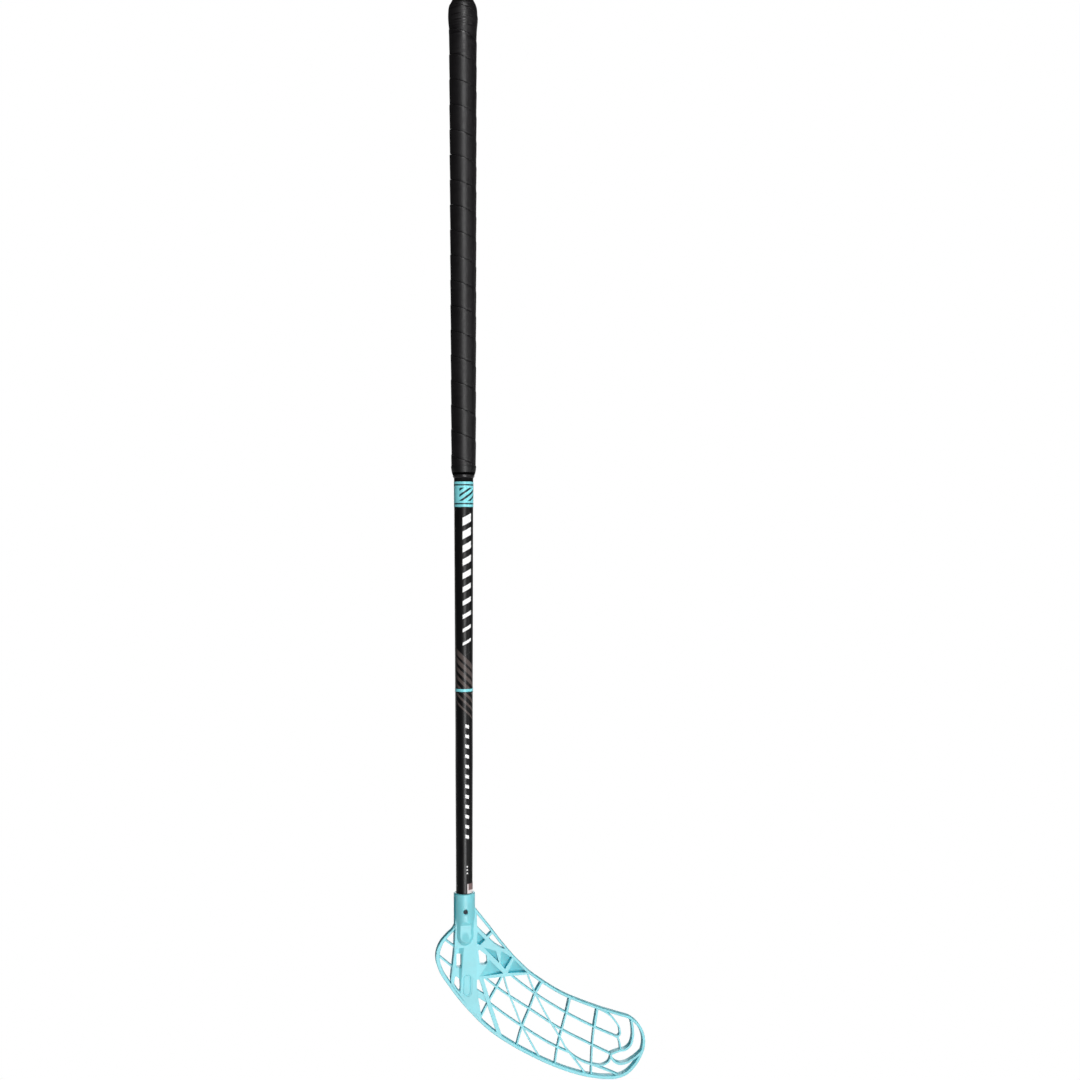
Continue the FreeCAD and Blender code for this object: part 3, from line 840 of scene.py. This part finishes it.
def finished(
    mesh: bmesh.types.BMesh, name: str, finish: Finish, stands_for: str, crease: float
) -> bpy.types.Object:
    """Turn a bmesh into a piece of the stick that stands for a CAD node.

    Args:
        mesh: The shape, which is freed.
        name: The piece's name.
        finish: Its surface.
        stands_for: The CAD node that it replaces.
        crease: Angle over which an edge is sharp, beside those that are marked already.

    Returns:
        The piece.
    """
    for face in mesh.faces:
        face.smooth = True
    for edge in mesh.edges:
        if edge.is_manifold and edge.calc_face_angle() > crease:
            edge.smooth = False
    data = bpy.data.meshes.new(name)
    mesh.to_mesh(data)
    mesh.free()
    data.materials.append(finish.material())
    piece = bpy.data.objects.new(name, data)
    bpy.context.scene.collection.objects.link(piece)
    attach(piece, BODY)
    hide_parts(stands_for)
    log.info("%s: %d faces, for %s", name, len(data.polygons), stands_for)
    return piece


def dress_node(node: str, finish: Finish) -> None:
    """Give a CAD node its surface.

    Args:
        node: The node's name.
        finish: The surface.
    """
    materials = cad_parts[node].data.materials
    materials.clear()
    materials.append(finish.material())
    log.info("%s: dressed", node)


def extent(node: str) -> Span:
    """Return the height of a CAD node's top, and its length down the stick."""
    low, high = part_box(node)
    return high.z, high.z - low.z


def turned(profile: list[Span], steps: int) -> bmesh.types.BMesh:
    """Turn a profile about the shaft's axis.

    Args:
        profile: Radius and height of each point, closed or from axis to axis.
        steps: How many steps the full turn has.

    Returns:
        The closed shape.
    """
    mesh = bmesh.new()
    points = [mesh.verts.new((radius, 0, height)) for radius, height in profile]
    edges = [mesh.edges.new(pair) for pair in zip(points, points[1:])]
    bmesh.ops.spin(
        mesh, geom=points + edges, cent=(0, 0, 0), axis=(0, 0, 1), angle=math.tau, steps=steps,
        use_merge=True,
    )
    bmesh.ops.remove_doubles(mesh, verts=mesh.verts[:], dist=WELD)
    bmesh.ops.recalc_face_normals(mesh, faces=mesh.faces[:])
    return mesh


@dataclass
class Shaft:
    """Tapered tube with its print, colour bands and label."""

    butt: float
    length: float = 1000 * MM
    butt_radius: float = 12.25 * MM
    tip_radius: float = 8.65 * MM
    ring_coloured: Span = (0.04, 0.74)

    def radius(self, distance: float) -> float:
        """Return the radius at a distance from the butt."""
        return self.butt_radius + (self.tip_radius - self.butt_radius) * distance / self.length

    def dress(self) -> None:
        """Give the tube, the bands and the label their surfaces."""
        dress_node("shaft_tube", ShaftLacquer(butt=self.butt))
        top, length = extent("upper_band")
        dress_node("upper_band", BandFilm(top=top, length=length, hatched=True))
        top, length = extent("lower_ring")
        narrow = BandFilm("teal_ring_film", top=top, length=length, coloured=self.ring_coloured)
        dress_node("lower_ring", narrow)
        top, length = extent("foil_sticker")
        dress_node("foil_sticker", LabelFoil(top=top, length=length))


@dataclass
class Grip:
    """Strip wound from the butt to the end band, over a knob that is closed by a plug in the tube."""

    shaft: Shaft
    end: float

    # Section of the strip.
    pitch: float = 26.8 * MM
    width: float = 29.0 * MM
    underside: float = 0.2 * MM
    tuck: float = 0.7 * MM
    lap_gap: float = 0.12 * MM
    top_edge: float = 2.72 * MM
    crown: float = 2.9 * MM
    crown_inset: float = 1.6 * MM
    shoulder: float = 2.5 * MM
    step: float = 0.3 * MM
    corner: float = 0.2 * MM
    corner_segments: int = 3
    flat_cuts: int = 7

    # Winding, and the knob that it covers.
    steps_per_turn: int = 72
    spare_turns: int = 2
    top_drop: float = 0.9 * MM
    swell: float = 1.05 * MM
    swell_distance: float = 19.5 * MM
    swell_reach: float = 10.5 * MM
    shrink: float = 4.3 * MM
    shrink_reach: float = 11.5 * MM
    ripple: float = 0.05 * MM
    ripple_size: float = 14 * MM
    strip_crease: float = math.radians(40)

    # Cap.
    dome: tuple[float, ...] = (0, 0.35, 0.6, 0.8, 0.92, 1)
    dome_power: int = 4
    cap_plate: float = 3 * MM
    cap_shoulder: float = 4.5 * MM
    plug: float = 25 * MM
    plug_wall: float = 2.4 * MM
    plug_inset: float = 1.75 * MM
    cap_crease: float = math.radians(35)

    # End band. Each step of its taper is a share of its length and a share of the way in to its lip.
    film: float = 0.15 * MM
    lip: float = 0.5 * MM
    taper: tuple[Span, ...] = (
        (0.01, 0.03), (0.10, 0.02), (0.28, 0.13), (0.46, 0.28), (0.58, 0.41), (0.68, 0.58), (0.75, 0.76),
        (0.78, 0.74), (0.84, 0.72), (0.90, 0.76), (0.95, 0.90), (0.97, 1.0), (0.995, 1.04),
    )
    band_crease: float = math.radians(50)
    turned_steps: int = 96

    def core(self, distance: float) -> float:
        """Work out the core under the strip, which swells and closes at the butt.

        Args:
            distance: Distance from the butt.

        Returns:
            The core's radius there.
        """
        away = (distance - self.swell_distance) / self.swell_reach
        near = max(0.0, 1 - max(distance, 0.0) / self.shrink_reach)
        return self.shaft.radius(distance) + self.swell * math.exp(-away * away) - self.shrink * near * near

    def section(self, mesh: bmesh.types.BMesh) -> list[bmesh.types.BMEdge]:
        """Draw the strip's section on the front of a plain core.

        Args:
            mesh: The mesh to draw it in.

        Returns:
            The section's edges, with rounded corners.
        """
        half = self.width / 2
        lap = self.width - self.pitch
        tucked = self.underside + self.tuck
        lifted = tucked + self.lap_gap
        corners = [
            (lifted, -half),
            (self.top_edge, -half),
            (self.crown, self.crown_inset - half),
            (self.shoulder, half - lap - self.step - self.lap_gap),
            (tucked, half - lap - self.lap_gap),
            (tucked, half),
            (self.underside, half),
            (self.underside, lap + self.lap_gap - half),
            (lifted, lap + self.lap_gap - half),
        ]
        front = -self.shaft.butt_radius
        start = self.shaft.butt + self.pitch
        points = [mesh.verts.new((0, front - height, start - drop)) for height, drop in corners]
        mesh.faces.new(points)
        bmesh.ops.bevel(
            mesh, geom=points, offset=self.corner, offset_type="OFFSET", segments=self.corner_segments,
            profile=0.5, affect="VERTICES", material=-1,
        )
        bmesh.ops.delete(mesh, geom=mesh.faces[:], context="FACES_ONLY")
        flats = [edge for edge in mesh.edges if edge.calc_length() > half]
        bmesh.ops.subdivide_edges(mesh, edges=flats, cuts=self.flat_cuts)
        return mesh.edges[:]

    def wind(self) -> bmesh.types.BMesh:
        """Wind one turn, repeat it down the grip, fit it to the core and trim its ends.

        Returns:
            The closed strip.
        """
        mesh = bmesh.new()
        edges = self.section(mesh)
        bmesh.ops.spin(
            mesh, geom=mesh.verts[:] + edges, cent=(0, 0, 0), axis=(0, 0, 1),
            dvec=(0, 0, -self.pitch / self.steps_per_turn), angle=math.tau, steps=self.steps_per_turn,
        )
        first = mesh.verts[:] + mesh.edges[:] + mesh.faces[:]
        turns = math.ceil((self.end + self.width) / self.pitch) + self.spare_turns
        for turn in range(1, turns):
            copy = bmesh.ops.duplicate(mesh, geom=first)["geom"]
            points = [part for part in copy if isinstance(part, bmesh.types.BMVert)]
            bmesh.ops.translate(mesh, verts=points, vec=(0, 0, -self.pitch * turn))
        bmesh.ops.remove_doubles(mesh, verts=mesh.verts[:], dist=WELD)
        for point in mesh.verts:
            self.fit(point)
        # The winding runs past both ends, so it is cut there and the cuts are closed.
        top = Vector((0, 0, self.shaft.butt - self.top_drop))
        foot = Vector((0, 0, self.shaft.butt - self.end))
        for place, way in ((top, 1), (foot, -1)):
            whole = mesh.verts[:] + mesh.edges[:] + mesh.faces[:]
            bmesh.ops.bisect_plane(
                mesh, geom=whole, plane_co=place, plane_no=(0, 0, way), clear_outer=True
            )
        rims = [edge for edge in mesh.edges if edge.is_boundary]
        bmesh.ops.edgeloop_fill(mesh, edges=rims)
        bmesh.ops.recalc_face_normals(mesh, faces=mesh.faces[:])
        return mesh

    def fit(self, point: bmesh.types.BMVert) -> None:
        """Move a point of the plain winding out or in to the core, with a little hand-wound ripple.

        Args:
            point: The point to move.
        """
        flat = point.co.xy
        height = flat.length - self.shaft.butt_radius
        distance = self.shaft.butt - point.co.z
        outside = height > self.tuck * 2
        uneven = noise.noise(point.co / self.ripple_size) * self.ripple if outside else 0.0
        point.co.xy = flat.normalized() * (self.core(distance) + height + uneven)

    def cap(self) -> bmesh.types.BMesh:
        """Turn the cap: a low dome inside the winding's first turn, on a hollow plug in the tube.

        Returns:
            The closed cap.
        """
        butt = self.shaft.butt
        rim = self.core(self.top_drop) - self.underside
        outer = self.shaft.radius(self.plug) - self.plug_inset
        inner = outer - self.plug_wall
        profile = [(rim * share, butt - self.top_drop * share ** self.dome_power) for share in self.dome]
        profile += [
            (outer, butt - self.cap_shoulder), (outer, butt - self.plug), (inner, butt - self.plug),
            (inner, butt - self.cap_plate), (0, butt - self.cap_plate),
        ]
        return turned(profile, self.turned_steps)

    def end_band(self) -> bmesh.types.BMesh:
        """Turn the band that closes the winding's lower end.

        Returns:
            The closed band.
        """
        low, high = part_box("grip_end_band")
        length = high.z - low.z
        bore = self.shaft.radius(self.end) + self.film
        lip = self.shaft.radius(self.end + length) + self.lip
        profile = [(bore, high.z), (high.x - self.corner, high.z)]
        for along, inward in self.taper:
            profile.append((high.x + (lip - high.x) * inward, high.z - length * along))
        profile += [(lip - self.lip / 2, low.z), (bore + lip - high.x, low.z), (bore, high.z)]
        return turned(profile, self.turned_steps)

    def build(self) -> None:
        """Make the strip, the cap and the end band."""
        tape = GripFoam(butt=self.shaft.butt)
        strip = finished(self.wind(), "grip_strip", tape, "grip_tape", self.strip_crease)
        finished(self.cap(), "butt_cap", Rubber(), "end_cap", self.cap_crease)
        vinyl = EndVinyl(top=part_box("grip_end_band")[1].z)
        band = self.end_band()
        finished(band, "end_band", vinyl, "grip_end_band", self.band_crease)


@dataclass
class Blade:
    """Moulded blade with softened edges, and the two screws that hold it."""

    soft_edge: float = 0.2 * MM
    edge_segments: int = 2
    flat: float = math.radians(0.1)
    sharp: float = math.radians(50)
    border_crease: float = math.radians(8)
    crease: float = math.radians(40)

    # Limits on the share of a face's normal that points out of the blade.
    level: float = 0.999
    plumb: float = 0.02
    upright: float = 0.5

    # Where the web's pockets are, and where the neck and the hub are.
    web_side: Span = (8 * MM, 74 * MM)
    web_foot: float = 103 * MM
    neck_side: Span = (-8 * MM, 14 * MM)

    # The pad on the hub's foot, with the width and the depth of each step of its ring.
    pad_middle: float = 2.05 * MM
    pad_drop: float = 98.2 * MM
    pad_slack: float = 2 * MM
    pad_area: float = 300 * MM * MM
    pad_groove: tuple[Span, ...] = (
        (1.3 * MM, 0.0), (0.4 * MM, -0.6 * MM), (0.45 * MM, 0.0), (0.4 * MM, 0.6 * MM),
    )

    def is_rounded(self, edge: bmesh.types.BMEdge, neck_top: float) -> bool:
        """Choose the edges to round: those of level faces, away from the slanting pockets in the web.

        Args:
            edge: An edge of the blade.
            neck_top: Height of the neck's top.

        Returns:
            Whether the edge is rounded.
        """
        if not edge.is_manifold or edge.calc_face_angle_signed() < self.sharp:
            return False
        lower, higher = sorted(abs(face.normal.y) for face in edge.link_faces)
        left, right = self.web_side
        foot = neck_top - self.web_foot
        in_web = all(left < end.co.x < right and end.co.z > foot and end.co.y < 0 for end in edge.verts)
        return lower < self.plumb and higher > self.level and not in_web

    def cut_grooves(self, mesh: bmesh.types.BMesh, neck_top: float) -> None:
        """Cut the long ring into the pad on the hub's foot, on both sides.

        Args:
            mesh: The blade, with each pad as one face.
            neck_top: Height of the neck's top.
        """
        middle = Vector((self.pad_middle, neck_top - self.pad_drop))
        pads = []
        for face in mesh.faces:
            near = (face.calc_center_bounds().xz - middle).length < self.pad_slack
            if near and abs(face.normal.y) > self.level and face.calc_area() < self.pad_area:
                pads.append(face)
        log.info("blade: %d pads", len(pads))
        for pad in pads:
            for width, depth in self.pad_groove:
                bmesh.ops.inset_region(
                    mesh, faces=[pad], thickness=width, depth=depth, use_even_offset=True
                )

    def mark_shaded_walls(self, mesh: bmesh.types.BMesh) -> None:
        """Mark the faces that stand upright on the blade, beside the neck and the hub, for painted shade.

        Args:
            mesh: The finished blade.
        """
        mark = mesh.faces.layers.float.new(SHADED_WALL_MARK)
        left, right = self.neck_side
        for face in mesh.faces:
            beside = not left < face.calc_center_bounds().x < right
            face[mark] = float(beside and abs(face.normal.y) < self.upright)

    def soften(self) -> bmesh.types.BMesh:
        """Copy the CAD blade, join its loose faces, mark their creases and round its outer edges.

        Returns:
            The softened blade.
        """
        mesh = bmesh.new()
        mesh.from_mesh(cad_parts["blade"].data)
        # The borders of the CAD faces are kept as seams while the triangles in each flat face are joined.
        for edge in mesh.edges:
            edge.seam = edge.is_boundary
        bmesh.ops.remove_doubles(mesh, verts=mesh.verts[:], dist=WELD)
        bmesh.ops.dissolve_limit(
            mesh, angle_limit=self.flat, verts=mesh.verts[:], edges=mesh.edges[:], delimit={"SEAM"}
        )
        for edge in mesh.edges:
            edge.smooth = not (edge.seam and edge.calc_face_angle(0.0) > self.border_crease)
            edge.seam = False
        neck_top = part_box("blade")[1].z
        self.cut_grooves(mesh, neck_top)
        edges = [edge for edge in mesh.edges if self.is_rounded(edge, neck_top)]
        for edge in edges:
            edge.smooth = True
        bmesh.ops.bevel(
            mesh, geom=edges, offset=self.soft_edge, offset_type="OFFSET", segments=self.edge_segments,
            profile=0.5, affect="EDGES", material=-1,
        )
        mesh.normal_update()
        self.mark_shaded_walls(mesh)
        return mesh

    def build(self) -> None:
        """Make the blade and dress its screws."""
        plastic = MouldedPlastic(neck_top=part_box("blade")[1].z)
        mesh = self.soften()
        moulding = finished(mesh, "blade_moulding", plastic, "blade", self.crease)
        moulding.modifiers.new("even_faces", "WEIGHTED_NORMAL").keep_sharp = True
        for screw in ("blade_screw_front", "blade_screw_back"):
            dress_node(screw, ScrewSteel())


class Aim(Enum):
    """Places on the stick that the lamps point at."""

    KNOB = (0.0, 0.0, 0.245)
    GRIP = (0.0, 0.0, 0.1)
    SHAFT = (0.0, 0.0, -0.35)
    HUB = (0.05, 0.0, -0.8)
    RIBS = (0.1, 0.0, -0.85)


@dataclass(frozen=True)
class SoftBox:
    """A soft lamp that points at a place on the stick."""

    name: str
    place: Place
    target: Aim
    size: Span
    power: float
    spread: float = math.pi
    mirrored: bool = True

    def build(self) -> None:
        """Hang the lamp."""
        data = bpy.data.lights.new(self.name, "AREA")
        data.shape = "RECTANGLE"
        data.size, data.size_y = self.size
        data.energy = self.power
        data.spread = self.spread
        lamp = bpy.data.objects.new(self.name, data)
        lamp.location = self.place
        beam = Vector(self.target.value) - Vector(self.place)
        lamp.rotation_euler = beam.to_track_quat("-Z", "Y").to_euler()
        lamp.visible_camera = False
        lamp.visible_glossy = self.mirrored
        bpy.context.scene.collection.objects.link(lamp)


class Ray(Enum):
    """Kinds of ray that see the white set."""

    CAMERA = "Is Camera Ray"
    GLOSSY = "Is Glossy Ray"
    TRANSMISSION = "Is Transmission Ray"


@dataclass
class Studio:
    """White set, soft lamps and a camera at the photograph's place."""

    lowest: float
    eye: Place = (-0.17, -1.3034, -0.3294)
    turn: float = math.radians(11)
    roll: float = math.radians(-0.095)
    field_of_view: float = math.radians(47.66)
    sensor: float = 36.0
    floor_drop: float = 0.5
    floor_size: float = 6.0
    floor_front: float = 0.4
    floor_white_from: Span = (2.0, 4.0)
    floor_tone: Colour = (0.8, 0.8, 0.8, 1.0)
    white: Colour = (1.0, 1.0, 1.0, 1.0)
    white_behind: Span = (0.95, 0.995)
    ambient: float = 0.045
    lamps: tuple[SoftBox, ...] = (
        SoftBox("key", (0.35, -3.2, -1.5), Aim.HUB, (0.9, 1.9), power=67.0),
        SoftBox("knob", (0.1, -2.2, 2.2), Aim.KNOB, (0.5, 0.8), power=0.4, spread=math.radians(20)),
        SoftBox("strip", (0.0, -3.2, 1.0), Aim.GRIP, (0.6, 2.4), power=50.0),
        SoftBox("fill_right", (2.4, -1.7, -0.5), Aim.SHAFT, (0.9, 2.4), power=8.0),
        SoftBox("walls", (2.0, -1.2, 0.2), Aim.RIBS, (0.9, 1.2), power=12.0, mirrored=False),
        SoftBox("rim_right", (2.6, 1.6, -0.1), Aim.SHAFT, (0.8, 2.4), power=3.0),
        SoftBox("back", (0.6, 3.0, 0.4), Aim.SHAFT, (1.6, 2.4), power=40.0),
        SoftBox("back_wash", (-0.2, 3.0, -1.2), Aim.HUB, (0.9, 1.9), power=45.0, mirrored=False),
    )

    def camera(self) -> None:
        """Place the camera, turned a little to the right and all but level."""
        data = bpy.data.cameras.new("camera")
        data.sensor_width = self.sensor
        data.lens = self.sensor / 2 / math.tan(self.field_of_view / 2)
        camera = bpy.data.objects.new("camera", data)
        camera.location = self.eye
        level = Euler((math.pi / 2, 0, -self.turn)).to_quaternion()
        camera.rotation_euler = (level @ Quaternion((0, 0, 1), self.roll)).to_euler()
        bpy.context.scene.collection.objects.link(camera)
        bpy.context.scene.camera = camera

    def seen(self, graph: Graph, mirrored: Number) -> Number:
        """Choose the rays that see the set as plain white.

        Args:
            graph: The graph to add the nodes to.
            mirrored: Where rays that come by way of a mirror or a lens see it as well.

        Returns:
            1 for a ray that sees white.
        """
        path = graph.node("ShaderNodeLightPath", {}, {})
        camera, glossy, through = (Number(graph, path.outputs[ray.value]) for ray in Ray)
        return camera.or_more(glossy.or_more(through) * mirrored)

    def floor(self) -> None:
        """Lay the pale floor under and behind the stick."""
        mesh = bmesh.new()
        bmesh.ops.create_grid(mesh, x_segments=1, y_segments=1, size=self.floor_size)
        place = Vector((0, self.floor_size - self.floor_front, self.lowest - self.floor_drop))
        bmesh.ops.translate(mesh, verts=mesh.verts[:], vec=place)
        data = bpy.data.meshes.new("floor")
        mesh.to_mesh(data)
        mesh.free()
        material = bpy.data.materials.new("floor_white")
        material.use_nodes = True
        graph = Graph(material.node_tree)
        seen = self.seen(graph, graph.axes()[1].step(*self.floor_white_from))
        matt = graph.node("ShaderNodeBsdfDiffuse", {}, {"Color": self.floor_tone})
        glow = graph.node("ShaderNodeEmission", {}, {"Color": self.white, "Strength": 1.0})
        mixed = graph.node("ShaderNodeMixShader", {}, {0: seen, 1: matt.outputs[0], 2: glow.outputs[0]})
        graph.node("ShaderNodeOutputMaterial", {}, {"Surface": mixed.outputs[0]})
        data.materials.append(material)
        floor = bpy.data.objects.new("floor", data)
        bpy.context.scene.collection.objects.link(floor)

    def surround(self) -> None:
        """Make the world: white to the camera and behind the stick, dim elsewhere."""
        world = bpy.data.worlds.new("set")
        world.use_nodes = True
        bpy.context.scene.world = world
        graph = Graph(world.node_tree)
        direction = graph.node("ShaderNodeTexCoord", {}, {}).outputs["Generated"]
        parts = graph.node("ShaderNodeSeparateXYZ", {}, {"Vector": direction})
        seen = self.seen(graph, Number(graph, parts.outputs["Y"]).step(*self.white_behind))
        strength = self.ambient + seen * (1 - self.ambient)
        sky = graph.node("ShaderNodeBackground", {}, {"Color": self.white, "Strength": strength})
        graph.node("ShaderNodeOutputWorld", {}, {"Surface": sky.outputs[0]})

    def build(self) -> None:
        """Put up the lamps, the set and the camera."""
        for lamp in self.lamps:
            lamp.build()
        self.floor()
        self.surround()
        self.camera()
        bpy.context.scene.view_settings.view_transform = "Standard"


def main() -> None:
    """Dress the stick piece by piece, and put it on its set."""
    logging.basicConfig(level=logging.INFO, format="%(message)s")
    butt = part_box("end_cap")[1].z
    shaft = Shaft(butt)
    shaft.dress()
    Grip(shaft, end=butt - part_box("grip_tape")[0].z).build()
    Blade().build()
    Studio(lowest=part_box("blade")[0].z).build()


if __name__ == "__main__":
    main()
